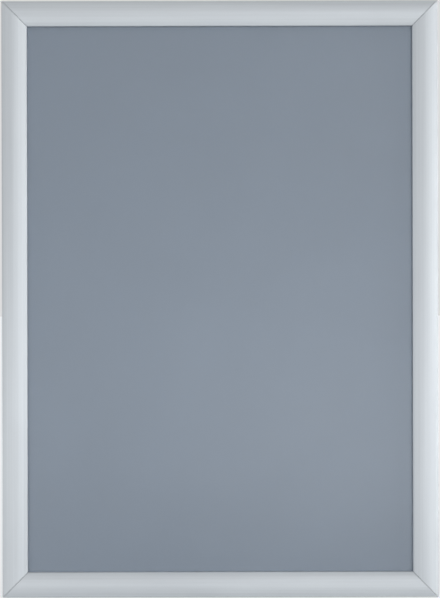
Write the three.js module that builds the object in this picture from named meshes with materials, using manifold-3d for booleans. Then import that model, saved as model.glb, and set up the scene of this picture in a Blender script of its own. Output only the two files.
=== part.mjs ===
// Snap frame for a 500 x 700 mm poster: four hinged snap rails on a mitred base frame,
// with a grey back panel and a clear cover sheet. Millimetres, +Z up, front towards -Y.
// The origin is the middle of the back, on the plane of the wall.

import * as THREE from "three";
import { mergeVertices } from "three/addons/utils/BufferGeometryUtils.js";
import Module from "manifold-3d";

const wasm = await Module();
wasm.setup();

// Overall sizes
const POSTER_WIDTH = 500;
const POSTER_HEIGHT = 700;
const RAIL_WIDTH = 32;
const RAIL_DEPTH = 14;
const POSTER_OVERLAP = 10;
const POSTER_EDGE = RAIL_WIDTH - POSTER_OVERLAP;
const FRAME_WIDTH = POSTER_WIDTH + 2 * POSTER_EDGE;
const FRAME_HEIGHT = POSTER_HEIGHT + 2 * POSTER_EDGE;
const BASE_MITRE_GAP = 0.15;
const SNAP_MITRE_GAP = 0.25;

// Cross-sections are drawn in (u, v): u runs inward from the outer edge of the frame, and v
// runs out from the wall. Angles are in degrees, from u towards v.

// Hinge: a round bead on the base, held in the jaw of the snap rail
const HINGE_U = 3.6;
const HINGE_V = 7.6;
const BEAD_RADIUS = 1.36;
const JAW_INNER_RADIUS = 1.42;
const JAW_OUTER_RADIUS = 2.5;
const JAW_OUTER_END = 136;
const JAW_LOWER_START = -20;
const JAW_LOWER_END = -80;
const NECK_ANGLE = 250;
const NECK_HALF_WIDTH = 0.475;
const NECK_ROOT = 3.2;
const NECK_FOOT_V = 3.3;

// Base rail walls
const FLOOR = 1.4;
const FLOOR_END = 30;
const EDGE_CHAMFER = 0.4;
const OUTER_WALL = 1.3;
const LEDGE_V = 5.1;
const KEY_RIB = { from: 5.2, to: 6.2, top: 2.6 };
const WEB = { from: 16, to: 17.2, top: 6.2 };
const SPRING_LIP = { tip: 15, underside: 5.3 };
const PANEL_SHELF = { tip: 21.7, underside: 3.9, top: 4.9 };
const DRILL_LINE = { at: 10.9, halfWidth: 0.35, depth: 0.3 };

// Snap rail face, nose and spring heel
const CREST_U = 14.9;
const CREST_ANGLE = 90;
const SKIN = 1.3;
const NOSE_RADIUS = 1.2;
const NOSE_V = 7.6;
const FOOT_V = 4.6;
const FOOT_WIDTH = 1.8;
const FOOT_CHAMFER = 0.4;
const HEEL_ANGLE = -60;
const HEEL_HALF_WIDTH = 0.75;
const HEEL_TIP = 3.85;
const HEEL_SEAT = 3.7;
const HEEL_SETBACK = 3;

// Springs, corner keys, sheets and screw holes
const SPRING_THICKNESS = 0.35;
const SPRING_LENGTH = 22;
const SPRING_END_GAP = 0.25;
const SPRING_HUMP = 1.8;
const SPRING_HUMP_WIDTH = 6.4;
const OVER_CENTRE_ANGLE = -15;
const SPRINGS_ON_SHORT_RAIL = 2;
const SPRINGS_ON_LONG_RAIL = 3;
const KEY_ARM = 46;
const KEY_CLEARANCE = 0.3;
const KEY_TOOTH = 0.35;
const KEY_TOOTH_PITCH = 4;
const KEY_TOOTH_SLOPE = 3.2;
const KEY_TOOTH_START = 12;
const KEY_TIP_TAPER = 1.6;
const KEY_FRONT = 3.9;
const SEAT_GAP = 0.2;
const SHEET_GAP = 0.3;
const PANEL_THICKNESS = 2;
const COVER_THICKNESS = 0.5;
const SHEET_CORNER = 2;
const SCREW_HOLE_DIAMETER = 6;
const SCREW_DRILL_LENGTH = 5;
const SCREW_HOLE_HEIGHT = 290;

// Facets
const FACE_STEP = 4;
const HINGE_STEP = 12;
const NOSE_STEP = 16;
const HUMP_STEPS = 14;
const HOLE_SIDES = 24;
const CORNER_STEPS = 3;

const anodisedFace = new THREE.MeshStandardMaterial({ color: 0xc6cbce, roughness: 0.36, metalness: 1 });
const anodisedBase = new THREE.MeshStandardMaterial({ color: 0xb9bec2, roughness: 0.45, metalness: 1 });
const greyPanel = new THREE.MeshStandardMaterial({ color: 0x8a97a5, roughness: 0.6, metalness: 0 });
const clearCover = new THREE.MeshStandardMaterial({
  color: 0xf2f5f7,
  roughness: 0.35,
  metalness: 0,
  transparent: true,
  opacity: 0.15,
});
const springSteel = new THREE.MeshStandardMaterial({ color: 0x8d9094, roughness: 0.3, metalness: 1 });
const zincKey = new THREE.MeshStandardMaterial({ color: 0x9ba0a4, roughness: 0.5, metalness: 1 });

const radians = THREE.MathUtils.degToRad;
const degrees = THREE.MathUtils.radToDeg;
const point = (u, v) => new THREE.Vector2(u, v);
const hinge = point(HINGE_U, HINGE_V);

function polar(centre, radius, angle) {
  return point(Math.cos(radians(angle)), Math.sin(radians(angle))).multiplyScalar(radius).add(centre);
}

function angleFrom(centre, place) {
  return degrees(Math.atan2(place.y - centre.y, place.x - centre.x));
}

function arc(centre, radius, from, to, step) {
  const pieces = Math.max(1, Math.ceil(Math.abs(to - from) / step));
  const turn = (to - from) / pieces;
  return Array.from({ length: pieces + 1 }, (_, i) => polar(centre, radius, from + i * turn));
}

// Where two circles cross, on the left of the line from the first centre to the second.
function crossing(centreA, radiusA, centreB, radiusB) {
  const apart = centreA.distanceTo(centreB);
  const cosine = (radiusA ** 2 + apart ** 2 - radiusB ** 2) / (2 * radiusA * apart);
  return polar(centreA, radiusA, angleFrom(centreA, centreB) + degrees(Math.acos(cosine)));
}

// A place beside a ray from the hinge: out along the ray, and to its left.
function besideRay(angle, out, left) {
  return polar(polar(hinge, out, angle), left, angle + 90);
}

function toSolid(geometry) {
  geometry.deleteAttribute("normal");
  geometry.deleteAttribute("uv");
  const merged = mergeVertices(geometry);
  const vertProperties = new Float32Array(merged.getAttribute("position").array);
  const triVerts = new Uint32Array(merged.index.array);
  return new wasm.Manifold(new wasm.Mesh({ numProp: 3, vertProperties, triVerts }));
}

function toGeometry(solid) {
  const mesh = solid.getMesh();
  const geometry = new THREE.BufferGeometry();
  geometry.setAttribute("position", new THREE.BufferAttribute(new Float32Array(mesh.vertProperties), 3));
  geometry.setIndex(new THREE.BufferAttribute(new Uint32Array(mesh.triVerts), 1));
  geometry.computeVertexNormals();
  return geometry;
}

// A rail lies along its own X, with u along +Z and v along -Y. Its ends are sawn at 45 degrees.
function mitredBar(outline, halfLength, setback) {
  const bar = new THREE.ExtrudeGeometry(new THREE.Shape(outline), { depth: 1, bevelEnabled: false });
  const position = bar.getAttribute("position");
  for (let i = 0; i < position.count; i++) {
    const u = position.getX(i);
    const side = position.getZ(i) === 0 ? -1 : 1;
    position.setXYZ(i, side * (halfLength - u - setback), -position.getY(i), u);
  }
  return bar;
}

// A short square-ended strip of a section, centred on one place along the rail.
function straightStrip(outline, length, along) {
  const strip = new THREE.ExtrudeGeometry(new THREE.Shape(outline), { depth: length, bevelEnabled: false });
  strip.translate(0, 0, along - length / 2);
  const sectionToRail = new THREE.Matrix4().makeBasis(
    new THREE.Vector3(0, 0, 1),
    new THREE.Vector3(0, -1, 0),
    new THREE.Vector3(1, 0, 0),
  );
  return strip.applyMatrix4(sectionToRail);
}

// Base rail: floor, webbed shelf over the panel edge, key rib, and outer wall with ledge and hinge bead.
function baseOutline() {
  const beadRoot = Math.sqrt(BEAD_RADIUS ** 2 - NECK_HALF_WIDTH ** 2);
  const neckSpread = degrees(Math.asin(NECK_HALF_WIDTH / BEAD_RADIUS));
  const neckLedgeRoot = (HINGE_V - LEDGE_V) / Math.sin(radians(NECK_ANGLE - 180));
  const bead = arc(hinge, BEAD_RADIUS, NECK_ANGLE - 360 + neckSpread, NECK_ANGLE - neckSpread, HINGE_STEP);
  const drillLine = [
    point(DRILL_LINE.at + DRILL_LINE.halfWidth, FLOOR),
    point(DRILL_LINE.at, FLOOR - DRILL_LINE.depth),
    point(DRILL_LINE.at - DRILL_LINE.halfWidth, FLOOR),
  ];
  return [
    point(EDGE_CHAMFER, 0),
    point(FLOOR_END - EDGE_CHAMFER, 0),
    point(FLOOR_END, EDGE_CHAMFER),
    point(FLOOR_END, FLOOR - EDGE_CHAMFER),
    point(FLOOR_END - EDGE_CHAMFER, FLOOR),
    point(WEB.to, FLOOR),
    point(WEB.to, PANEL_SHELF.underside),
    point(PANEL_SHELF.tip, PANEL_SHELF.underside),
    point(PANEL_SHELF.tip, PANEL_SHELF.top),
    point(WEB.to, PANEL_SHELF.top),
    point(WEB.to, WEB.top),
    point(SPRING_LIP.tip, WEB.top),
    point(SPRING_LIP.tip, SPRING_LIP.underside),
    point(WEB.from, SPRING_LIP.underside),
    point(WEB.from, FLOOR),
    ...drillLine,
    point(KEY_RIB.to, FLOOR),
    point(KEY_RIB.to, KEY_RIB.top),
    point(KEY_RIB.from, KEY_RIB.top),
    point(KEY_RIB.from, FLOOR),
    point(OUTER_WALL, FLOOR),
    point(OUTER_WALL, NECK_FOOT_V),
    besideRay(NECK_ANGLE, NECK_ROOT, NECK_HALF_WIDTH),
    besideRay(NECK_ANGLE, beadRoot, NECK_HALF_WIDTH),
    ...bead.slice(1, -1),
    besideRay(NECK_ANGLE, beadRoot, -NECK_HALF_WIDTH),
    besideRay(NECK_ANGLE, neckLedgeRoot, -NECK_HALF_WIDTH),
    point(EDGE_CHAMFER, LEDGE_V),
    point(0, LEDGE_V - EDGE_CHAMFER),
    point(0, EDGE_CHAMFER),
  ];
}

// Radius of an arc that is level at the crest and runs tangent into a round, given how far the
// round's centre lies across from the crest and below it.
function faceRadius(across, below, round) {
  return (across ** 2 + below ** 2 - round ** 2) / (2 * (below - round));
}

// Snap rail: an arched face from the hinge jaw over the crest to a rounded nose, with a leg under
// the nose whose foot grips the cover.
function snapOutline() {
  const nose = point(RAIL_WIDTH - NOSE_RADIUS, NOSE_V);
  const outerRadius = faceRadius(CREST_U - HINGE_U, RAIL_DEPTH - HINGE_V, JAW_OUTER_RADIUS);
  const innerRadius = faceRadius(nose.x - CREST_U, RAIL_DEPTH - NOSE_V, NOSE_RADIUS);
  const outerCentre = point(CREST_U, RAIL_DEPTH - outerRadius);
  const innerCentre = point(CREST_U, RAIL_DEPTH - innerRadius);
  const noseMeetsFace = angleFrom(innerCentre, nose);
  const faceMeetsJaw = angleFrom(outerCentre, hinge);
  const jawMeetsSkin = crossing(hinge, JAW_OUTER_RADIUS, outerCentre, outerRadius - SKIN);
  const legInside = RAIL_WIDTH - FOOT_WIDTH;
  const skinMeetsLeg = degrees(Math.acos((legInside - CREST_U) / (innerRadius - SKIN)));
  const skinMeetsJaw = angleFrom(outerCentre, jawMeetsSkin);
  return [
    point(legInside, FOOT_V),
    point(RAIL_WIDTH - FOOT_CHAMFER, FOOT_V),
    point(RAIL_WIDTH, FOOT_V + FOOT_CHAMFER),
    ...arc(nose, NOSE_RADIUS, 0, noseMeetsFace, NOSE_STEP),
    ...arc(innerCentre, innerRadius, noseMeetsFace, CREST_ANGLE, FACE_STEP).slice(1),
    ...arc(outerCentre, outerRadius, CREST_ANGLE, faceMeetsJaw, FACE_STEP).slice(1),
    polar(hinge, JAW_OUTER_RADIUS, JAW_OUTER_END),
    ...arc(hinge, JAW_INNER_RADIUS, JAW_OUTER_END, JAW_LOWER_START, HINGE_STEP),
    ...arc(hinge, JAW_OUTER_RADIUS, JAW_LOWER_START, angleFrom(hinge, jawMeetsSkin), HINGE_STEP),
    ...arc(outerCentre, outerRadius - SKIN, skinMeetsJaw, CREST_ANGLE, FACE_STEP).slice(1),
    ...arc(innerCentre, innerRadius - SKIN, CREST_ANGLE, skinMeetsLeg, FACE_STEP).slice(1),
  ];
}

// Lower lip of the jaw, with the heel that the springs push on. It stops short of the mitres,
// so that the heels of two rails pass each other at a corner.
function heelOutline() {
  const sideOut = Math.sqrt(JAW_OUTER_RADIUS ** 2 - HEEL_HALF_WIDTH ** 2);
  const heelSpread = degrees(Math.asin(HEEL_HALF_WIDTH / JAW_OUTER_RADIUS));
  const overlap = JAW_LOWER_START + HINGE_STEP;
  return [
    ...arc(hinge, JAW_INNER_RADIUS, overlap, JAW_LOWER_END, HINGE_STEP),
    besideRay(HEEL_ANGLE, sideOut, -HEEL_HALF_WIDTH),
    besideRay(HEEL_ANGLE, HEEL_TIP, -HEEL_HALF_WIDTH),
    besideRay(HEEL_ANGLE, HEEL_SEAT, 0),
    besideRay(HEEL_ANGLE, HEEL_TIP, HEEL_HALF_WIDTH),
    ...arc(hinge, JAW_OUTER_RADIUS, HEEL_ANGLE + heelSpread, overlap, HINGE_STEP),
  ];
}

// Spring leaf: a humped strip squeezed between the heel of the snap rail and the web of the base.
// The heel passes the line from the hinge to the web seat, at the over-centre angle, halfway
// through the rail's swing, so the leaf pushes the rail shut before that and open after it.
const webReach = (WEB.from - SPRING_END_GAP - HINGE_U) / Math.cos(radians(OVER_CENTRE_ANGLE));
const webEnd = polar(hinge, webReach, OVER_CENTRE_ANGLE);
const heelEnd = polar(hinge, HEEL_SEAT + SPRING_END_GAP, HEEL_ANGLE);

function springOutline() {
  const along = webEnd.clone().sub(heelEnd).normalize();
  const across = point(-along.y, along.x);
  const half = heelEnd.distanceTo(webEnd) / 2;
  const middle = heelEnd.clone().add(webEnd).multiplyScalar(0.5);
  const place = (s, height) => middle.clone().addScaledVector(along, s).addScaledVector(across, height);
  const wave = (2 * Math.PI) / SPRING_HUMP_WIDTH;
  const side = (offset) => {
    const hump = Array.from({ length: HUMP_STEPS + 1 }, (_, i) => {
      const s = SPRING_HUMP_WIDTH * (i / HUMP_STEPS - 0.5);
      const height = (SPRING_HUMP * (1 + Math.cos(wave * s))) / 2;
      const lean = Math.atan((-SPRING_HUMP * wave * Math.sin(wave * s)) / 2);
      return place(s - offset * Math.sin(lean), height + offset * Math.cos(lean));
    });
    return [place(-half, offset), ...hump, place(half, offset)];
  };
  return [...side(-SPRING_THICKNESS / 2), ...side(SPRING_THICKNESS / 2).reverse()];
}

// Corner key: an L of die-cast zinc with biting teeth on both sides of each arm.
function keyOutline() {
  const near = KEY_RIB.to + KEY_CLEARANCE;
  const width = WEB.from - KEY_CLEARANCE - near;
  const teeth = Math.floor((KEY_ARM - KEY_TOOTH_START - KEY_TIP_TAPER) / KEY_TOOTH_PITCH);
  const edge = (base, sign) =>
    Array.from({ length: teeth }, (_, i) => {
      const start = near + KEY_TOOTH_START + i * KEY_TOOTH_PITCH;
      return [
        point(start, base + sign * KEY_TOOTH),
        point(start + KEY_TOOTH_SLOPE, base),
      ];
    }).flat();
  const tip = near + KEY_ARM;
  const arm = [
    ...edge(near, 1),
    point(tip - KEY_TIP_TAPER, near + KEY_TOOTH),
    point(tip, near + KEY_TIP_TAPER),
    point(tip, near + width - KEY_TIP_TAPER),
    point(tip - KEY_TIP_TAPER, near + width - KEY_TOOTH),
    ...edge(near + width, -1).reverse(),
  ];
  const otherArm = arm.map((p) => point(p.y, p.x)).reverse();
  return [
    point(near + KEY_TOOTH, near + KEY_TOOTH),
    ...arm,
    point(near + width - KEY_TOOTH, near + width - KEY_TOOTH),
    ...otherArm,
  ];
}

// A flat sheet between two distances from the wall, with its corners rounded.
function sheet(width, height, back, thickness) {
  const [x, z, r] = [width / 2, height / 2, SHEET_CORNER];
  const outline = new THREE.Shape();
  outline.absarc(x - r, z - r, r, 0, Math.PI / 2);
  outline.absarc(r - x, z - r, r, Math.PI / 2, Math.PI);
  outline.absarc(r - x, r - z, r, Math.PI, 1.5 * Math.PI);
  outline.absarc(x - r, r - z, r, 1.5 * Math.PI, 2 * Math.PI);
  const plate = new THREE.ExtrudeGeometry(outline, {
    depth: thickness,
    bevelEnabled: false,
    curveSegments: CORNER_STEPS,
  });
  return plate.rotateX(Math.PI / 2).translate(0, -back, 0);
}

function addMesh(group, name, geometry, material) {
  const mesh = new THREE.Mesh(geometry, material);
  mesh.name = name;
  group.add(mesh);
}

const frame = new THREE.Group();
frame.name = "snap_frame";

// Four sides: each is a base rail, the snap rail hinged on it, and its spring leaves.
const shortRail = { length: FRAME_WIDTH, springs: SPRINGS_ON_SHORT_RAIL, screwPlaces: [] };
const longRail = {
  length: FRAME_HEIGHT,
  springs: SPRINGS_ON_LONG_RAIL,
  screwPlaces: [-SCREW_HOLE_HEIGHT, SCREW_HOLE_HEIGHT],
};
const sides = [
  { name: "bottom", turn: 0, at: [0, 0, -FRAME_HEIGHT / 2], ...shortRail },
  { name: "top", turn: 180, at: [0, 0, FRAME_HEIGHT / 2], ...shortRail },
  { name: "left", turn: 90, at: [-FRAME_WIDTH / 2, 0, 0], ...longRail },
  { name: "right", turn: -90, at: [FRAME_WIDTH / 2, 0, 0], ...longRail },
];

function screwHole(along) {
  const drill = new THREE.CylinderGeometry(
    SCREW_HOLE_DIAMETER / 2,
    SCREW_HOLE_DIAMETER / 2,
    SCREW_DRILL_LENGTH,
    HOLE_SIDES,
  );
  return toSolid(drill.translate(along, 0, DRILL_LINE.at));
}

for (const side of sides) {
  const rail = new THREE.Group();
  rail.rotation.y = radians(side.turn);
  rail.position.set(...side.at);
  frame.add(rail);
  const half = side.length / 2;

  let base = toSolid(mitredBar(baseOutline(), half, BASE_MITRE_GAP));
  for (const place of side.screwPlaces) {
    base = base.subtract(screwHole(place));
  }
  addMesh(rail, `base_rail_${side.name}`, toGeometry(base), anodisedBase);

  const face = toSolid(mitredBar(snapOutline(), half, SNAP_MITRE_GAP));
  const heel = toSolid(mitredBar(heelOutline(), half, HEEL_SETBACK));
  addMesh(rail, `snap_rail_${side.name}`, toGeometry(face.add(heel)), anodisedFace);

  const spacing = side.length / side.springs;
  for (let i = 0; i < side.springs; i++) {
    const along = (i + 0.5) * spacing - half;
    const leaf = straightStrip(springOutline(), SPRING_LENGTH, along);
    addMesh(rail, `spring_leaf_${side.name}_${i + 1}`, leaf, springSteel);
  }
}

// Corner keys lie in the channels of two base rails and hold the mitre together.
const corners = [
  { name: "bottom_left", turn: 0, at: [-1, -1] },
  { name: "bottom_right", turn: -90, at: [1, -1] },
  { name: "top_right", turn: 180, at: [1, 1] },
  { name: "top_left", turn: 90, at: [-1, 1] },
];

for (const corner of corners) {
  const holder = new THREE.Group();
  holder.rotation.y = radians(corner.turn);
  holder.position.set((corner.at[0] * FRAME_WIDTH) / 2, 0, (corner.at[1] * FRAME_HEIGHT) / 2);
  frame.add(holder);
  const key = new THREE.ExtrudeGeometry(new THREE.Shape(keyOutline()), {
    depth: KEY_FRONT - FLOOR - SEAT_GAP,
    bevelEnabled: false,
  });
  key.rotateX(Math.PI / 2).translate(0, -FLOOR - SEAT_GAP, 0);
  addMesh(holder, `corner_key_${corner.name}`, key, zincKey);
}

// The back panel slides in under the shelf, and the cover sheet lies on the poster in front of it.
const panelEdge = WEB.to + SHEET_GAP;
const panelBack = FLOOR + SEAT_GAP;
const panelWidth = FRAME_WIDTH - 2 * panelEdge;
const panelHeight = FRAME_HEIGHT - 2 * panelEdge;
addMesh(frame, "back_panel", sheet(panelWidth, panelHeight, panelBack, PANEL_THICKNESS), greyPanel);

const coverBack = panelBack + PANEL_THICKNESS + SHEET_GAP;
addMesh(frame, "cover_sheet", sheet(POSTER_WIDTH, POSTER_HEIGHT, coverBack, COVER_THICKNESS), clearCover);

export default frame;
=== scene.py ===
import math

import bmesh
import bpy
from mathutils import Matrix, Vector


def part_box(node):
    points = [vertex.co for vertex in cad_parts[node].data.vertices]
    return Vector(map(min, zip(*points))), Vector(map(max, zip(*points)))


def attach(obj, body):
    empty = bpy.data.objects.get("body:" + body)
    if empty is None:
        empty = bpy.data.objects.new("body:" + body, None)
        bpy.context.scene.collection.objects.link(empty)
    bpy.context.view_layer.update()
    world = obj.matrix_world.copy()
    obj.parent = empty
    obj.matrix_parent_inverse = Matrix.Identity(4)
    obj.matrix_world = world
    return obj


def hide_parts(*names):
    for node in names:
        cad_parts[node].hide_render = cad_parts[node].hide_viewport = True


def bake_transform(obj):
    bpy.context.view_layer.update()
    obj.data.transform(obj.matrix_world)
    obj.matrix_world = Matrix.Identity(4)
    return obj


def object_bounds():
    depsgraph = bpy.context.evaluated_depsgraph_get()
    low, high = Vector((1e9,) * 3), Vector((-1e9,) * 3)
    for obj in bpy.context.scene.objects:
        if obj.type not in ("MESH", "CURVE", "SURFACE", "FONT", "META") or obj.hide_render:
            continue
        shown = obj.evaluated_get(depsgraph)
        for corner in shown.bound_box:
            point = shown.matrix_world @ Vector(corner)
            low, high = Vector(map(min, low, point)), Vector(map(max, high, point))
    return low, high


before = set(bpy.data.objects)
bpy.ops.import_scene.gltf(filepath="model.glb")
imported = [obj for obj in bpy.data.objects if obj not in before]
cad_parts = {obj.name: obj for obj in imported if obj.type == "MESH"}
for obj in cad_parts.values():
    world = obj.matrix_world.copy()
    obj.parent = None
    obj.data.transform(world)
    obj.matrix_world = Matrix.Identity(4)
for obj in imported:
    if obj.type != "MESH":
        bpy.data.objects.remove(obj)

cad_low, cad_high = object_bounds()


# Base rails: the four lengths that lie on the wall and carry everything else.
# Extruded aluminium, silver anodised and sawn at 45 degrees. A round bead over the outer ledge
# is the hinge, a lip on the web seats the springs, and a shelf holds the panel's edge.
MM = 0.001
half_width = cad_high.x
half_height = cad_high.z
base_mitre_gap = 0.15 * MM
sawn_edge_break = 0.12 * MM

hinge = Vector((3.6, 7.6)) * MM
bead_radius = 1.36 * MM
neck_angle = 250
neck_half_width = 0.475 * MM
neck_root = 3.2 * MM
neck_foot = 3.3 * MM
floor_thickness = 1.4 * MM
floor_end = 30 * MM
outer_wall = 1.3 * MM
ledge = 5.1 * MM
key_rib_from = 5.2 * MM
key_rib_to = 6.2 * MM
key_rib_top = 2.6 * MM
web_from = 16 * MM
web_to = 17.2 * MM
web_top = 6.2 * MM
spring_lip_tip = 15 * MM
spring_lip_underside = 5.3 * MM
shelf_tip = 21.7 * MM
shelf_underside = 3.9 * MM
shelf_top = 4.9 * MM
drill_line = 10.9 * MM
drill_line_half_width = 0.35 * MM
drill_line_depth = 0.3 * MM
die_radius = 0.3 * MM

screw_hole_radius = 3 * MM
screw_hole_height = 290 * MM
screw_hole_sides = 48
burr_chamfer = 0.3 * MM

sharp_turn = math.radians(28)
easing_steps = 4
easing_share = 0.45
hinge_step = 6

noise_low = 0.32
noise_high = 0.68


def polar(centre, radius, angle):
    turn = math.radians(angle)
    return centre + radius * Vector((math.cos(turn), math.sin(turn)))


def arc(centre, radius, start, end, step):
    """A round stretch of a section. Its (u, v) run in from the outer edge and out from the wall."""
    pieces = max(1, math.ceil(abs(end - start) / step))
    return [polar(centre, radius, start + (end - start) * i / pieces) for i in range(pieces + 1)]


def beside_ray(angle, out, left):
    """A place beside a ray from the hinge: out along the ray, and to its left."""
    return polar(polar(hinge, out, angle), left, angle + 90)


def eased(outline, radius, closed=True):
    """The outline with its sharp corners rounded, as an extrusion die leaves them."""
    made = []
    last = len(outline) - 1
    for i, corner in enumerate(outline):
        back = outline[i - 1] - corner
        ahead = outline[(i + 1) % len(outline)] - corner
        turn = math.pi - back.angle(ahead)
        is_end = not closed and i in (0, last)
        if is_end or turn < sharp_turn:
            made.append(corner)
            continue
        room = easing_share * min(back.length, ahead.length)
        reach = min(radius * math.tan(turn / 2), room)
        start = corner + reach * back.normalized()
        end = corner + reach * ahead.normalized()
        for step in range(easing_steps + 1):
            t = step / easing_steps
            made.append((1 - t) ** 2 * start + 2 * t * (1 - t) * corner + t ** 2 * end)
    return made


def drawn_in(outline, amount):
    """An outline that runs anticlockwise, drawn in by an amount all round."""
    made = []
    for i, here in enumerate(outline):
        before = (here - outline[i - 1]).normalized()
        after = (outline[(i + 1) % len(outline)] - here).normalized()
        inward = Vector((-before.y - after.y, before.x + after.x))
        made.append(here + inward * (2 * amount / inward.length_squared))
    return made


def ring_walls(first, second, count):
    """The quads that join two rings of points, given the number of each ring's first point."""
    follow = [(i + 1) % count for i in range(count)]
    return [(first + i, first + follow[i], second + follow[i], second + i) for i in range(count)]


def make_piece(name, points, faces, materials, second_finish=()):
    """A closed mesh with smooth rounds and crisp edges.

    The faces in second_finish take the second material.
    """
    shape = bmesh.new()
    corners = [shape.verts.new(point) for point in points]
    for face in faces:
        shape.faces.new([corners[i] for i in face])
    for face in second_finish:
        shape.faces.new([corners[i] for i in face]).material_index = 1
    bmesh.ops.recalc_face_normals(shape, faces=shape.faces)
    mesh = bpy.data.meshes.new(name)
    shape.to_mesh(mesh)
    shape.free()
    for material in materials:
        mesh.materials.append(material)
    mesh.shade_smooth()
    mesh.set_sharp_from_angle(angle=sharp_turn)
    piece = bpy.data.objects.new(name, mesh)
    bpy.context.scene.collection.objects.link(piece)
    return piece


def mitre_ring(outline, half_length, setback, side):
    """A ring of points across a rail, on the slant of the mitre. A rail lies along its own X."""
    return [(side * (half_length - p.x - setback), -p.y, p.x) for p in outline]


def new_material(name):
    material = bpy.data.materials.new(name)
    material.use_nodes = True
    return material, material.node_tree, material.node_tree.nodes["Principled BSDF"]


def add_node(tree, kind, inputs, **settings):
    """A node with its inputs given as numbers, colours or the outputs of other nodes."""
    made = tree.nodes.new(kind)
    for setting, value in settings.items():
        setattr(made, setting, value)
    for socket, value in inputs.items():
        if isinstance(value, bpy.types.NodeSocket):
            tree.links.new(value, made.inputs[socket])
        else:
            made.inputs[socket].default_value = value
    return made


def grain(tree, marks_per_metre, detail):
    """Noise on the piece's own coordinates, finer along an axis with more marks to the metre."""
    place = add_node(tree, "ShaderNodeTexCoord", {}).outputs["Object"]
    scaled = add_node(tree, "ShaderNodeMapping", {"Vector": place, "Scale": marks_per_metre})
    marks = {"Vector": scaled.outputs[0], "Scale": 1.0, "Detail": detail}
    return add_node(tree, "ShaderNodeTexNoise", marks).outputs["Fac"]


def tones(tree, factor, dark, light):
    """A soft run between two colours over the middle of a noise."""
    ramp = add_node(tree, "ShaderNodeValToRGB", {"Fac": factor})
    ramp.color_ramp.elements[0].position = noise_low
    ramp.color_ramp.elements[1].position = noise_high
    ramp.color_ramp.elements[0].color = (*dark, 1)
    ramp.color_ramp.elements[1].color = (*light, 1)
    return ramp.outputs["Color"]


def between(tree, factor, low, high):
    """A soft run between two numbers over the middle of a noise."""
    middle = {"From Min": noise_low, "From Max": noise_high}
    run = {"Value": factor, **middle, "To Min": low, "To Max": high}
    return add_node(tree, "ShaderNodeMapRange", run).outputs["Result"]


def roughen(tree, surface, height, strength, depth):
    """Shallow relief on a surface, from a noise and the depth of its marks."""
    marks = {"Strength": strength, "Distance": depth, "Height": height}
    relief = add_node(tree, "ShaderNodeBump", marks)
    tree.links.new(relief.outputs["Normal"], surface.inputs["Normal"])


def shaded(colour, share):
    return tuple(channel * share for channel in colour)


def laid_over(tree, tone, other):
    """One tone times another, as one layer of marks over the next."""
    blend = {"data_type": "RGBA", "blend_type": "MULTIPLY"}
    layers = add_node(tree, "ShaderNodeMix", {"Factor": 1.0}, **blend)
    tree.links.new(tone, layers.inputs["A"])
    tree.links.new(other, layers.inputs["B"])
    return layers.outputs["Result"]


def anodised_aluminium(name, colour, roughness):
    """Satin anodised metal: fine drawn lines and broader die lines along the rail, and a drift."""
    material, tree, surface = new_material(name)
    lines = grain(tree, marks_per_metre=(9, 2300, 2300), detail=4)
    die_lines = grain(tree, marks_per_metre=(2, 420, 420), detail=2)
    drift = grain(tree, marks_per_metre=(7, 40, 40), detail=2)
    line_tone = tones(tree, lines, shaded(colour, 0.965), shaded(colour, 1.035))
    die_tone = tones(tree, die_lines, (0.975, 0.975, 0.975), (1.025, 1.025, 1.025))
    drift_tone = tones(tree, drift, (0.975, 0.975, 0.98), (1, 1, 1))
    tone = laid_over(tree, line_tone, laid_over(tree, die_tone, drift_tone))
    satin = between(tree, lines, roughness - 0.03, roughness + 0.04)
    tree.links.new(tone, surface.inputs["Base Color"])
    tree.links.new(satin, surface.inputs["Roughness"])
    roughen(tree, surface, lines, strength=0.3, depth=0.02 * MM)
    surface.inputs["Metallic"].default_value = 1.0
    return material


def sawn_aluminium(name, colour):
    """Bare metal at a sawn mitre: slanting blade marks across the cut."""
    material, tree, surface = new_material(name)
    place = add_node(tree, "ShaderNodeTexCoord", {}).outputs["Object"]
    blade = {"Vector": place, "Scale": 420.0, "Distortion": 1.2, "Detail": 3.0}
    slanting = {"wave_type": "BANDS", "bands_direction": "DIAGONAL"}
    cut = add_node(tree, "ShaderNodeTexWave", blade, **slanting).outputs["Fac"]
    cut_tone = tones(tree, cut, shaded(colour, 0.88), colour)
    tree.links.new(cut_tone, surface.inputs["Base Color"])
    tree.links.new(between(tree, cut, 0.3, 0.46), surface.inputs["Roughness"])
    roughen(tree, surface, cut, strength=0.4, depth=0.03 * MM)
    surface.inputs["Metallic"].default_value = 1.0
    return material


base_finish = anodised_aluminium("base_rail_anodised", colour=(0.56, 0.585, 0.605), roughness=0.5)
sawn_finish = sawn_aluminium("sawn_mitre", colour=(0.62, 0.63, 0.64))

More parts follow.
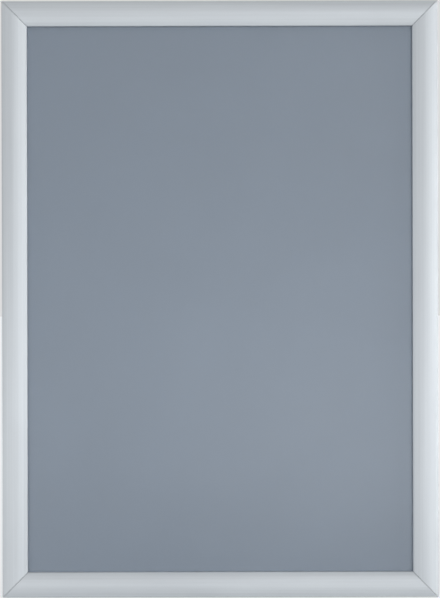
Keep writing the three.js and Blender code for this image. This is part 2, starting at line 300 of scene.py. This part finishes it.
bead_root = math.sqrt(bead_radius ** 2 - neck_half_width ** 2)
neck_spread = math.degrees(math.asin(neck_half_width / bead_radius))
neck_ledge_root = (hinge.y - ledge) / math.sin(math.radians(neck_angle - 180))
bead_start = neck_angle - 360 + neck_spread
bead_end = neck_angle - neck_spread
bead = arc(hinge, bead_radius, bead_start, bead_end, hinge_step)
base_outline = eased([
    Vector((0, 0)),
    Vector((floor_end, 0)),
    Vector((floor_end, floor_thickness)),
    Vector((web_to, floor_thickness)),
    Vector((web_to, shelf_underside)),
    Vector((shelf_tip, shelf_underside)),
    Vector((shelf_tip, shelf_top)),
    Vector((web_to, shelf_top)),
    Vector((web_to, web_top)),
    Vector((spring_lip_tip, web_top)),
    Vector((spring_lip_tip, spring_lip_underside)),
    Vector((web_from, spring_lip_underside)),
    Vector((web_from, floor_thickness)),
    Vector((drill_line + drill_line_half_width, floor_thickness)),
    Vector((drill_line, floor_thickness - drill_line_depth)),
    Vector((drill_line - drill_line_half_width, floor_thickness)),
    Vector((key_rib_to, floor_thickness)),
    Vector((key_rib_to, key_rib_top)),
    Vector((key_rib_from, key_rib_top)),
    Vector((key_rib_from, floor_thickness)),
    Vector((outer_wall, floor_thickness)),
    Vector((outer_wall, neck_foot)),
    beside_ray(neck_angle, neck_root, neck_half_width),
    beside_ray(neck_angle, bead_root, neck_half_width),
    *bead[1:-1],
    beside_ray(neck_angle, bead_root, -neck_half_width),
    beside_ray(neck_angle, neck_ledge_root, -neck_half_width),
    Vector((0, ledge)),
], die_radius)


def base_rail(name, half_length):
    """The base section run from mitre to mitre, with its sawn edges broken."""
    count = len(base_outline)
    sawn_outline = drawn_in(base_outline, sawn_edge_break)
    edge_setback = base_mitre_gap + sawn_edge_break
    points = []
    for side in (-1, 1):
        points += mitre_ring(sawn_outline, half_length, base_mitre_gap, side)
        points += mitre_ring(base_outline, half_length, edge_setback, side)
    left_cap, left, right_cap, right = (count * i for i in range(4))
    joins = ((left_cap, left), (left, right), (right, right_cap))
    walls = [wall for first, second in joins for wall in ring_walls(first, second, count)]
    caps = [tuple(range(cap, cap + count)) for cap in (left_cap, right_cap)]
    return make_piece(name, points, walls, [base_finish, sawn_finish], caps)


def drill(rail, along):
    """A screw hole through the floor on the drill line, with its burr broken on the front side."""
    count = screw_hole_sides
    centre = Vector((along, drill_line))
    stages = [
        (-floor_thickness, screw_hole_radius),
        (floor_thickness - burr_chamfer, screw_hole_radius),
        (floor_thickness + burr_chamfer, screw_hole_radius + 2 * burr_chamfer),
    ]
    points = []
    for depth, radius in stages:
        ring = [polar(centre, radius, 360 * i / count) for i in range(count)]
        points += [(p.x, -depth, p.y) for p in ring]
    walls = ring_walls(0, count, count) + ring_walls(count, 2 * count, count)
    caps = [tuple(range(count)), tuple(range(2 * count, 3 * count))]
    cutter = make_piece("screw_drill", points, walls + caps, [])
    cut = rail.modifiers.new("screw_hole", "BOOLEAN")
    cut.operation = "DIFFERENCE"
    cut.object = cutter
    drilled_rail = rail.evaluated_get(bpy.context.evaluated_depsgraph_get())
    drilled = bpy.data.meshes.new_from_object(drilled_rail)
    rail.modifiers.clear()
    rail.data = drilled
    drilled.set_sharp_from_angle(angle=sharp_turn)
    bpy.data.objects.remove(cutter)


def side_place(turn, across, up):
    """Where a side's rail stands: turned about the frame's depth, from the frame's outer edge."""
    stand = Matrix.Translation((across * half_width, 0, up * half_height))
    return stand @ Matrix.Rotation(math.radians(turn), 4, "Y")


short_side = {"half_length": half_width, "springs": 2, "screws": ()}
long_side = {"half_length": half_height, "springs": 3, "screws": (-1, 1)}
sides = {
    "bottom": {**short_side, "place": side_place(0, 0, -1)},
    "top": {**short_side, "place": side_place(180, 0, 1)},
    "left": {**long_side, "place": side_place(90, -1, 0)},
    "right": {**long_side, "place": side_place(-90, 1, 0)},
}

for side, facts in sides.items():
    rail = base_rail(f"base_extrusion_{side}", facts["half_length"])
    for end in facts["screws"]:
        drill(rail, end * screw_hole_height)
    rail.matrix_world = facts["place"]
    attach(rail, "base_frame")
    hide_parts(f"base_rail_{side}")


# Corner keys: L plates pushed into the channels of two base rails to hold the mitre square.
# Die-cast zinc, dull from the mould, with rows of small teeth that bite into rib and web.
key_arm = 46 * MM
key_clearance = 0.3 * MM
key_tooth = 0.35 * MM
key_tooth_pitch = 4 * MM
key_tooth_slope = 3.2 * MM
key_tooth_start = 12 * MM
key_tip_taper = 1.6 * MM
key_seat_gap = 0.2 * MM
key_back = floor_thickness + key_seat_gap
key_front = 3.9 * MM
key_edge = 0.2 * MM
key_corner_radius = 0.5 * MM


def cast_zinc(name, colour):
    """Die-cast zinc: a dull skin with flow mottle and the fine pitting of the mould."""
    material, tree, surface = new_material(name)
    mottle = grain(tree, marks_per_metre=(160, 160, 160), detail=5)
    pits = grain(tree, marks_per_metre=(1700, 1700, 1700), detail=2)
    skin_tone = tones(tree, mottle, shaded(colour, 0.86), shaded(colour, 1.06))
    tree.links.new(skin_tone, surface.inputs["Base Color"])
    tree.links.new(between(tree, mottle, 0.44, 0.6), surface.inputs["Roughness"])
    roughen(tree, surface, pits, strength=0.35, depth=0.05 * MM)
    surface.inputs["Metallic"].default_value = 1.0
    return material


def plate(name, outline, back, front, edge, material):
    """A flat piece between two distances from the wall, with all its edges broken.

    Outlines are (x, z).
    """
    count = len(outline)
    small = drawn_in(outline, edge)
    stages = [(small, back), (outline, back + edge), (outline, front - edge), (small, front)]
    points = [(p.x, -depth, p.y) for shape, depth in stages for p in shape]
    rings = [count * i for i in range(len(stages))]
    joins = zip(rings, rings[1:])
    walls = [wall for first, second in joins for wall in ring_walls(first, second, count)]
    caps = [tuple(range(ring, ring + count)) for ring in (rings[0], rings[-1])]
    return make_piece(name, points, walls + caps, [material])


def key_outline():
    """The L of a key, with teeth on both edges of each arm and tapered tips."""
    near = key_rib_to + key_clearance
    width = web_from - key_clearance - near
    tip = near + key_arm
    teeth = int((key_arm - key_tooth_start - key_tip_taper) / key_tooth_pitch)

    def toothed_edge(base, bite):
        edge = []
        for i in range(teeth):
            start = near + key_tooth_start + i * key_tooth_pitch
            edge += [Vector((start, base + bite)), Vector((start + key_tooth_slope, base))]
        return edge

    arm = [
        *toothed_edge(near, key_tooth),
        Vector((tip - key_tip_taper, near + key_tooth)),
        Vector((tip, near + key_tip_taper)),
        Vector((tip, near + width - key_tip_taper)),
        Vector((tip - key_tip_taper, near + width - key_tooth)),
        *reversed(toothed_edge(near + width, -key_tooth)),
    ]
    other_arm = [p.yx for p in reversed(arm)]
    outer_corner = Vector((near + key_tooth, near + key_tooth))
    inner_corner = Vector((near + width - key_tooth, near + width - key_tooth))
    return eased([outer_corner, *arm, inner_corner, *other_arm], key_corner_radius)


zinc_finish = cast_zinc("corner_key_zinc", colour=(0.44, 0.455, 0.47))
corners = {
    "bottom_left": side_place(0, -1, -1),
    "bottom_right": side_place(-90, 1, -1),
    "top_right": side_place(180, 1, 1),
    "top_left": side_place(90, -1, 1),
}
key_shape = key_outline()
for corner, place in corners.items():
    key = plate(f"cast_key_{corner}", key_shape, key_back, key_front, key_edge, zinc_finish)
    key.matrix_world = place
    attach(key, "base_frame")
    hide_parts(f"corner_key_{corner}")


# Back panel: the stiff sheet behind the poster, its edges slid in under the shelves.
# Grey extruded polystyrene, sawn to size, matt on the face with a faint even grain.
panel_low, panel_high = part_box("back_panel")
sheet_corner = 2 * MM
panel_edge = 0.2 * MM
corner_step = 10


def sheet_outline(low, high):
    """A sheet's outline with its four corners rounded."""
    left, right = low.x + sheet_corner, high.x - sheet_corner
    bottom, top = low.z + sheet_corner, high.z - sheet_corner
    return [
        *arc(Vector((right, top)), sheet_corner, 0, 90, corner_step),
        *arc(Vector((left, top)), sheet_corner, 90, 180, corner_step),
        *arc(Vector((left, bottom)), sheet_corner, 180, 270, corner_step),
        *arc(Vector((right, bottom)), sheet_corner, 270, 360, corner_step),
    ]


def grey_polystyrene(name, colour):
    """Matt extruded sheet: fine grain in the face and a slow cloudiness through the pigment."""
    material, tree, surface = new_material(name)
    clouds = grain(tree, marks_per_metre=(9, 9, 9), detail=3)
    pebble = grain(tree, marks_per_metre=(1400, 1400, 1400), detail=2)
    cloud_tone = tones(tree, clouds, shaded(colour, 0.975), shaded(colour, 1.025))
    pebble_tone = tones(tree, pebble, (0.99, 0.99, 0.99), (1, 1, 1))
    tree.links.new(laid_over(tree, cloud_tone, pebble_tone), surface.inputs["Base Color"])
    tree.links.new(between(tree, pebble, 0.46, 0.56), surface.inputs["Roughness"])
    roughen(tree, surface, pebble, strength=0.02, depth=0.03 * MM)
    return material


panel_finish = grey_polystyrene("back_panel_grey", colour=(0.142, 0.196, 0.268))
panel = plate(
    "polystyrene_panel", sheet_outline(panel_low, panel_high),
    -panel_high.y, -panel_low.y, panel_edge, panel_finish,
)
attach(panel, "base_frame")
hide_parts("back_panel")


# Spring leaves: short humped strips squeezed between a snap rail's heel and the web of the base.
# Tempered steel, sheared from rolled strip with the corners clipped. One end of each leaf bears on
# the heel, and the other end sits in its seat under the lip.
spring_thickness = 0.35 * MM
spring_length = 22 * MM
spring_end_gap = 0.25 * MM
spring_hump = 1.8 * MM
spring_hump_width = 6.4 * MM
spring_clip = 1.5 * MM
spring_edge = 0.06 * MM
over_centre_angle = -15
heel_angle = -60
heel_seat = 3.7 * MM
spring_steps = 48

# The strip's section, corner by corner: which end, which face, and 1 on the face or 0 on the end.
strip_section = (
    (-1, -1, 1), (1, -1, 1), (1, -1, 0), (1, 1, 0),
    (1, 1, 1), (-1, 1, 1), (-1, 1, 0), (-1, -1, 0),
)

web_reach = (web_from - spring_end_gap - hinge.x) / math.cos(math.radians(over_centre_angle))
web_end = polar(hinge, web_reach, over_centre_angle)
heel_end = polar(hinge, heel_seat + spring_end_gap, heel_angle)


def tempered_steel(name, bright, straw, marks_per_metre):
    """Tempered strip: roll lines along the coil and a faint straw to blue bloom."""
    material, tree, surface = new_material(name)
    lines = grain(tree, marks_per_metre, detail=3)
    bloom = grain(tree, marks_per_metre=(230, 230, 230), detail=2)
    tree.links.new(tones(tree, bloom, straw, bright), surface.inputs["Base Color"])
    tree.links.new(between(tree, lines, 0.24, 0.36), surface.inputs["Roughness"])
    roughen(tree, surface, lines, strength=0.25, depth=0.01 * MM)
    surface.inputs["Metallic"].default_value = 1.0
    return material


def spring_leaf(name, along, material):
    """A strip from heel to web with a hump in the middle, and its corners clipped at both ends."""
    span = web_end - heel_end
    direction = span.normalized()
    rise = Vector((-direction.y, direction.x))
    wave = 2 * math.pi / spring_hump_width
    half_thick = spring_thickness / 2
    points = []
    for step in range(spring_steps + 1):
        run = span.length * (step / spring_steps - 0.5)
        inside_hump = abs(run) < spring_hump_width / 2
        height = spring_hump * (1 + math.cos(wave * run)) / 2 if inside_hump else 0
        slope = -spring_hump * wave * math.sin(wave * run) / 2 if inside_hump else 0
        normal = (rise - slope * direction).normalized()
        middle = (heel_end + web_end) / 2 + run * direction + height * rise
        from_end = span.length / 2 - abs(run)
        half_length = spring_length / 2 - max(0, spring_clip - from_end)
        for way, out, flat in strip_section:
            offset = out * (half_thick - spring_edge * (1 - flat))
            place = middle + offset * normal
            points.append((along + way * (half_length - spring_edge * flat), -place.y, place.x))
    count = len(strip_section)
    rings = [count * i for i in range(spring_steps + 1)]
    joins = zip(rings, rings[1:])
    walls = [wall for first, second in joins for wall in ring_walls(first, second, count)]
    caps = [tuple(range(ring, ring + count)) for ring in (rings[0], rings[-1])]
    return make_piece(name, points, walls + caps, [material])


steel_tones = {"bright": (0.43, 0.45, 0.485), "straw": (0.44, 0.42, 0.385)}
short_steel = tempered_steel(
    "spring_steel_short_sides", **steel_tones, marks_per_metre=(40, 4000, 4000),
)
long_steel = tempered_steel(
    "spring_steel_long_sides", **steel_tones, marks_per_metre=(4000, 4000, 40),
)
spring_steel = {
    "bottom": short_steel, "top": short_steel, "left": long_steel, "right": long_steel,
}

for side, facts in sides.items():
    spacing = 2 * facts["half_length"] / facts["springs"]
    for i in range(facts["springs"]):
        along = (i + 0.5) * spacing - facts["half_length"]
        leaf = spring_leaf(f"leaf_spring_{side}_{i + 1}", along, spring_steel[side])
        leaf.matrix_world = facts["place"]
        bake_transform(leaf)
        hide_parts(f"spring_leaf_{side}_{i + 1}")


# Snap rails: the arched face of the frame, one to each side, clipped on the hinge beads.
# Extruded aluminium, satin silver anodised, sawn at 45 degrees so that four closed rails make
# tight corners. The leg under the nose presses the cover, and the jaw's heel rides on the springs.
rail_width = 32 * MM
rail_depth = 14 * MM
snap_mitre_gap = 0.25 * MM
snap_edge_break = 0.15 * MM
jaw_inner_radius = 1.42 * MM
jaw_outer_radius = 2.5 * MM
jaw_outer_end = 136
jaw_lower_start = -20
jaw_lower_end = -80
crest = 14.9 * MM
crest_angle = 90
skin = 1.3 * MM
nose_radius = 1.2 * MM
nose_height = 7.6 * MM
foot_height = 4.6 * MM
leg_thickness = 1.8 * MM
heel_half_width = 0.75 * MM
heel_tip = 3.85 * MM
heel_setback = 3 * MM
face_step = 1.5
nose_step = 8


def angle_from(centre, place):
    return math.degrees(math.atan2(place.y - centre.y, place.x - centre.x))


def crossing(centre_a, radius_a, centre_b, radius_b):
    """Where two circles cross, on the left of the line from the first centre to the second."""
    line = centre_b - centre_a
    reach = radius_a ** 2 + line.length_squared - radius_b ** 2
    turn = math.degrees(math.acos(reach / (2 * radius_a * line.length)))
    return polar(centre_a, radius_a, angle_from(centre_a, centre_b) + turn)


def arch_radius(across, below, round_radius):
    """Radius of an arc, level at the crest, that runs into a round across from it and below it."""
    return (across ** 2 + below ** 2 - round_radius ** 2) / (2 * (below - round_radius))


nose = Vector((rail_width - nose_radius, nose_height))
outer_arch = arch_radius(crest - hinge.x, rail_depth - hinge.y, jaw_outer_radius)
inner_arch = arch_radius(nose.x - crest, rail_depth - nose.y, nose_radius)
outer_centre = Vector((crest, rail_depth - outer_arch))
inner_centre = Vector((crest, rail_depth - inner_arch))
outer_skin = outer_arch - skin
inner_skin = inner_arch - skin
nose_meets_arch = angle_from(inner_centre, nose)
jaw_meets_arch = angle_from(outer_centre, hinge)
jaw_meets_skin = crossing(hinge, jaw_outer_radius, outer_centre, outer_skin)
skin_start = angle_from(outer_centre, jaw_meets_skin)
leg_inside = rail_width - leg_thickness
leg_meets_skin = math.degrees(math.acos((leg_inside - crest) / inner_skin))
skin_arcs = [
    *arc(outer_centre, outer_skin, skin_start, crest_angle, face_step),
    *arc(inner_centre, inner_skin, crest_angle, leg_meets_skin, face_step)[1:],
]

outside_chain = eased([
    skin_arcs[-1],
    Vector((leg_inside, foot_height)),
    Vector((rail_width, foot_height)),
    *arc(nose, nose_radius, 0, nose_meets_arch, nose_step),
    *arc(inner_centre, inner_arch, nose_meets_arch, crest_angle, face_step)[1:],
    *arc(outer_centre, outer_arch, crest_angle, jaw_meets_arch, face_step)[1:],
    polar(hinge, jaw_outer_radius, jaw_outer_end),
    *arc(hinge, jaw_inner_radius, jaw_outer_end, jaw_lower_start, hinge_step),
], die_radius, closed=False)
heel_side_out = math.sqrt(jaw_outer_radius ** 2 - heel_half_width ** 2)
heel_spread = math.degrees(math.asin(heel_half_width / jaw_outer_radius))
heel_chain = eased([
    *arc(hinge, jaw_inner_radius, jaw_lower_start, jaw_lower_end, hinge_step),
    beside_ray(heel_angle, heel_side_out, -heel_half_width),
    beside_ray(heel_angle, heel_tip, -heel_half_width),
    beside_ray(heel_angle, heel_seat, 0),
    beside_ray(heel_angle, heel_tip, heel_half_width),
    *arc(hinge, jaw_outer_radius, heel_angle + heel_spread, jaw_lower_start, hinge_step),
], die_radius, closed=False)[1:-1]
jaw_end = angle_from(hinge, jaw_meets_skin)
inside_chain = [
    *arc(hinge, jaw_outer_radius, jaw_lower_start, jaw_end, hinge_step),
    *skin_arcs[1:-1],
]


def snap_rail(name, half_length, materials):
    """The face runs to the mitres. The heel stops short, so that two rails pass at a corner."""
    face = [*outside_chain, *inside_chain]
    sawn_face = drawn_in(face, snap_edge_break)
    count = len(face)
    heel_at = len(outside_chain)
    heel_count = len(heel_chain)
    edge_setback = snap_mitre_gap + snap_edge_break
    heel_break = heel_setback + snap_mitre_gap
    points = []
    for side in (-1, 1):
        points += mitre_ring(sawn_face, half_length, snap_mitre_gap, side)
        points += mitre_ring(face, half_length, edge_setback, side)
        points += mitre_ring(face, half_length, heel_break, side)
        points += mitre_ring(heel_chain, half_length, heel_break, side)
    one_end = 3 * count + heel_count
    walls = []
    sawn = []
    whole = []
    for end in (0, one_end):
        edge_ring = end + count
        step_ring = end + 2 * count
        walls += ring_walls(end, edge_ring, count) + ring_walls(edge_ring, step_ring, count)
        sawn.append(tuple(range(end, end + count)))
        heel_ring = list(range(end + 3 * count, end + one_end))
        sawn.append((step_ring + heel_at - 1, *heel_ring, step_ring + heel_at))
        ring = list(range(step_ring, step_ring + count))
        whole.append([*ring[:heel_at], *heel_ring, *ring[heel_at:]])
    left, right = whole
    for i in range(len(left)):
        j = (i + 1) % len(left)
        walls.append((left[i], left[j], right[j], right[i]))
    return make_piece(name, points, walls, materials, sawn)


snap_finish = anodised_aluminium("snap_rail_anodised", colour=(0.63, 0.66, 0.685), roughness=0.66)
for side, facts in sides.items():
    rail_finishes = [snap_finish, sawn_finish]
    rail = snap_rail(f"snap_extrusion_{side}", facts["half_length"], rail_finishes)
    rail.matrix_world = facts["place"]
    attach(rail, f"{side}_snap")
    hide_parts(f"snap_rail_{side}")


# Cover sheet: the clear film over the poster, held down by the four noses.
# PVC with an anti-glare face: nearly clear, with a fine frosting that softens reflections.
cover_low, cover_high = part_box("cover_sheet")
cover_edge = 0.1 * MM


def anti_glare_film(name, colour, veil, gloss):
    """Clear film whose frosted face adds a thin veil, of which the gloss share mirrors softly."""
    material, tree, surface = new_material(name)
    frosting = grain(tree, marks_per_metre=(3600, 3600, 3600), detail=2)
    haze = grain(tree, marks_per_metre=(14, 14, 14), detail=3)
    haze_tone = tones(tree, haze, shaded(colour, 0.97), colour)
    tree.links.new(haze_tone, surface.inputs["Base Color"])
    tree.links.new(between(tree, frosting, 0.48, 0.56), surface.inputs["Roughness"])
    surface.inputs["Alpha"].default_value = veil
    surface.inputs["Metallic"].default_value = gloss
    surface.inputs["IOR"].default_value = 1.53
    return material


cover_finish = anti_glare_film("cover_anti_glare", colour=(0.9, 0.93, 0.96), veil=0.09, gloss=0.4)
cover = plate(
    "anti_glare_cover", sheet_outline(cover_low, cover_high),
    -cover_high.y, -cover_low.y, cover_edge, cover_finish,
)
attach(cover, "base_frame")
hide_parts("cover_sheet")


# Floor, light and camera: a pale studio with three big softboxes, a small one raking in from the
# right and two low ones in front. The frame stands just clear of the floor, so that its lower
# rail can swing open, and the camera looks straight at it from the front.
floor_clearance = 3.2 * MM
floor_half = 30
floor_colour = (0.44, 0.444, 0.448)
floor_roughness = 0.8
floor_glow_colour = (0.98, 0.99, 1.0)
floor_glow = 0.5
backdrop_colour = (0.725, 0.728, 0.732)

ground = bpy.data.meshes.new("studio_floor")
floor_z = cad_low.z - floor_clearance
ground.from_pydata(
    [(-floor_half, -floor_half, floor_z), (floor_half, -floor_half, floor_z),
     (floor_half, floor_half, floor_z), (-floor_half, floor_half, floor_z)],
    [], [(0, 1, 2, 3)],
)
studio_floor = bpy.data.objects.new("studio_floor", ground)
bpy.context.scene.collection.objects.link(studio_floor)


def seen_directly(tree):
    """1 for what the camera, metal or clear film sees, and 0 for light that falls on the object."""
    rays = add_node(tree, "ShaderNodeLightPath", {})
    seen = rays.outputs["Is Camera Ray"]
    for kind in ("Is Glossy Ray", "Is Transmission Ray"):
        pair = {0: seen, 1: rays.outputs[kind]}
        seen = add_node(tree, "ShaderNodeMath", pair, operation="MAXIMUM").outputs[0]
    return seen


floor_finish, floor_tree, floor_surface = new_material("studio_floor_pale")
floor_clouds = grain(floor_tree, marks_per_metre=(3, 3, 3), detail=3)
floor_tone = tones(floor_tree, floor_clouds, shaded(floor_colour, 0.985), floor_colour)
floor_tree.links.new(floor_tone, floor_surface.inputs["Base Color"])
floor_surface.inputs["Roughness"].default_value = floor_roughness
floor_surface.inputs["Emission Color"].default_value = (*floor_glow_colour, 1)
glow_parts = {0: seen_directly(floor_tree), 1: floor_glow}
glow = add_node(floor_tree, "ShaderNodeMath", glow_parts, operation="MULTIPLY")
floor_tree.links.new(glow.outputs[0], floor_surface.inputs["Emission Strength"])
ground.materials.append(floor_finish)

studio = bpy.data.worlds.new("studio")
bpy.context.scene.world = studio
studio.use_nodes = True
studio.node_tree.nodes["Background"].inputs["Color"].default_value = (*backdrop_colour, 1)


def softbox(name, place, size, brightness, spread):
    """A softbox aimed at the middle of the frame, its brightness seen from straight ahead.

    A grid over its face narrows the spread, in degrees, to spare the floor before it.
    """
    width, height = size
    half_spread = math.radians(spread) / 2
    let_through = 1 - half_spread / math.tan(half_spread)
    lamp = bpy.data.lights.new(name, "AREA")
    lamp.shape = "RECTANGLE"
    lamp.size = width
    lamp.size_y = height
    lamp.energy = math.pi * width * height * brightness * let_through
    lamp.spread = 2 * half_spread
    light = bpy.data.objects.new(name, lamp)
    light.location = place
    light.rotation_euler = (-Vector(place)).to_track_quat("-Z", "Y").to_euler()
    light.visible_camera = False
    bpy.context.scene.collection.objects.link(light)


softbox("right_front_softbox", (2.5, -4.33, 0.17), size=(1.8, 2.4), brightness=6.2, spread=50)
softbox("right_side_softbox", (4.92, -0.87, 0.17), size=(1.2, 2.4), brightness=8.5, spread=50)
softbox("left_side_softbox", (-4.33, -2.5, 0.17), size=(1.8, 2.4), brightness=1.0, spread=60)
softbox("raking_softbox", (1.5, -0.25, -0.2), size=(0.4, 0.3), brightness=5.6, spread=60)
softbox("low_front_softbox", (0.21, -0.55, -0.305), size=(0.5, 0.12), brightness=4.4, spread=90)
softbox("low_left_softbox", (-0.5, -0.52, -0.295), size=(0.5, 0.14), brightness=2.5, spread=120)

picture_height = 598
pixels_per_metre = 803
camera_distance = 1.8
camera_roll = 0.12
nose_distance = camera_distance - nose_height
lens_data = bpy.data.cameras.new("front_camera")
camera = bpy.data.objects.new("front_camera", lens_data)
lens_data.lens = lens_data.sensor_width * nose_distance * pixels_per_metre / picture_height
camera.location = (0, -camera_distance, 0)
camera.rotation_euler = (math.radians(90), math.radians(camera_roll), 0)
bpy.context.scene.collection.objects.link(camera)
bpy.context.scene.camera = camera
bpy.context.scene.view_settings.view_transform = "Standard"
